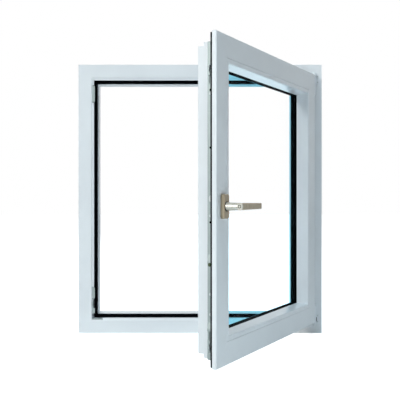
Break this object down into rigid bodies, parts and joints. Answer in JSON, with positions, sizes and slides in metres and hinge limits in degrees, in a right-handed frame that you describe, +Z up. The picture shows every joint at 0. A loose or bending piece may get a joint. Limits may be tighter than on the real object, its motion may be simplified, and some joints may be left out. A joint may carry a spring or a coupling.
{
  "type": "inward-opening casement window",
  "caption": "Casement window with a mitred plastic frame, a glazed sash standing open into the room on side hinges, a lever handle and perimeter locking gear.",
  "frame": {"origin": "middle of the frame's bottom face", "axes": "+X right as seen from the room, +Y outdoors, +Z up"},
  "size_m": [0.77, 0.714, 0.85],
  "materials": {
    "frame_plastic": "satin white",
    "sash_plastic": "satin white",
    "seal_rubber": "matt black",
    "glass": "clear with a faint blue tint",
    "spacer": "matt black",
    "gear_steel": "dull silver plating",
    "hinge_coat": "satin white",
    "pin_steel": "bright",
    "handle_metal": "satin champagne bronze"
  },
  "bodies": {
    "root": {"frame_head": "frame_plastic", "frame_sill": "frame_plastic", "frame_left_jamb": "frame_plastic", "frame_right_jamb": "frame_plastic", "sash_top_rail": "sash_plastic", "sash_bottom_rail": "sash_plastic", "sash_lock_stile": "sash_plastic", "sash_hinge_stile": "sash_plastic", "top_bead": "sash_plastic", "bottom_bead": "sash_plastic", "lock_side_bead": "sash_plastic", "hinge_side_bead": "sash_plastic", "frame_seal": "seal_rubber", "sash_seal": "seal_rubber", "inner_glass_seal": "seal_rubber", "outer_glass_seal": "seal_rubber", "inner_pane": "glass", "outer_pane": "glass", "glazing_spacer": "spacer", "lock_faceplate": "gear_steel", "top_faceplate": "gear_steel", "bottom_faceplate": "gear_steel", "lock_rod": "gear_steel", "sash_lifter": "gear_steel", "corner_ramp": "gear_steel", "corner_pad": "gear_steel", "stay_arm": "gear_steel", "upper_keep": "gear_steel", "lower_keep": "gear_steel", "lifter_stud": "gear_steel", "sash_rest": "gear_steel", "lower_hinge_bracket": "hinge_coat", "upper_hinge_bracket": "hinge_coat", "lower_hinge_knuckle": "hinge_coat", "upper_hinge_knuckle": "hinge_coat", "lower_hinge_pin": "pin_steel", "upper_hinge_pin": "pin_steel", "handle_base": "handle_metal", "handle_lever": "handle_metal"}
  },
  "joints": []
}
